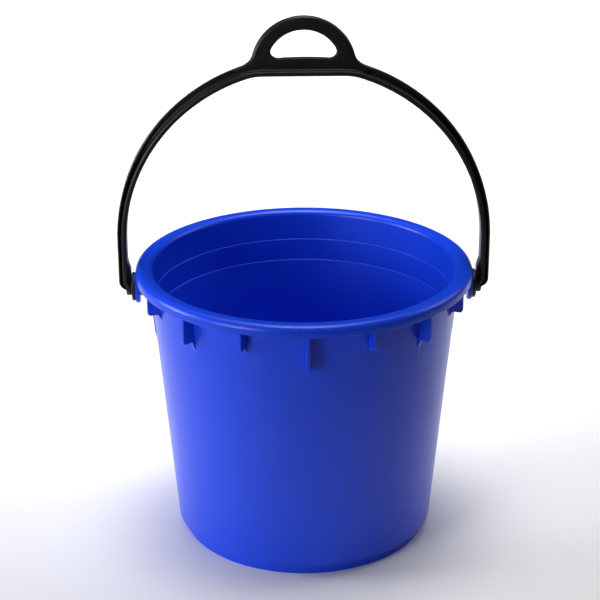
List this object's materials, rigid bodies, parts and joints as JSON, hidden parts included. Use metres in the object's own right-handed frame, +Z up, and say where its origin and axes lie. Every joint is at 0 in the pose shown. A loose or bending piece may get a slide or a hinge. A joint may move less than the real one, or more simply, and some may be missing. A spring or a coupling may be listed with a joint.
{
  "type": "feed bucket",
  "caption": "Round tapered plastic feed bucket with a ribbed rolled rim, two pivot lugs and a swinging moulded bail handle with a D-shaped hanging grip",
  "frame": {"origin": "centre of the foot ring's underside, on the floor", "axes": "+Z up along the bucket's axis; +X along the handle's pivot axis, towards the right-hand lug seen from the front; -Y towards the front"},
  "size_m": [0.3514, 0.32, 0.5085],
  "materials": {
    "bucket_plastic": "glossy injection-moulded polypropylene, royal blue",
    "handle_plastic": "satin injection-moulded plastic, black",
    "pin_plastic": "satin moulded plastic, black",
    "washer_plastic": "fine matt moulded plastic, black",
    "cap_plastic": "fine matt moulded plastic, black"
  },
  "bodies": {
    "bucket": {"bucket_body": "bucket_plastic"},
    "bail": {"bail_handle": "handle_plastic", "left_pivot_pin": "pin_plastic", "right_pivot_pin": "pin_plastic", "left_pivot_washer": "washer_plastic", "right_pivot_washer": "washer_plastic", "left_retaining_cap": "cap_plastic", "right_retaining_cap": "cap_plastic"}
  },
  "joints": [
    {"name": "bail_swing", "type": "hinge", "parent": "bucket", "child": "bail", "pos_m": [0, 0, 0.2475], "axis": [1, 0, 0], "range_deg": [-137, 137]}
  ]
}
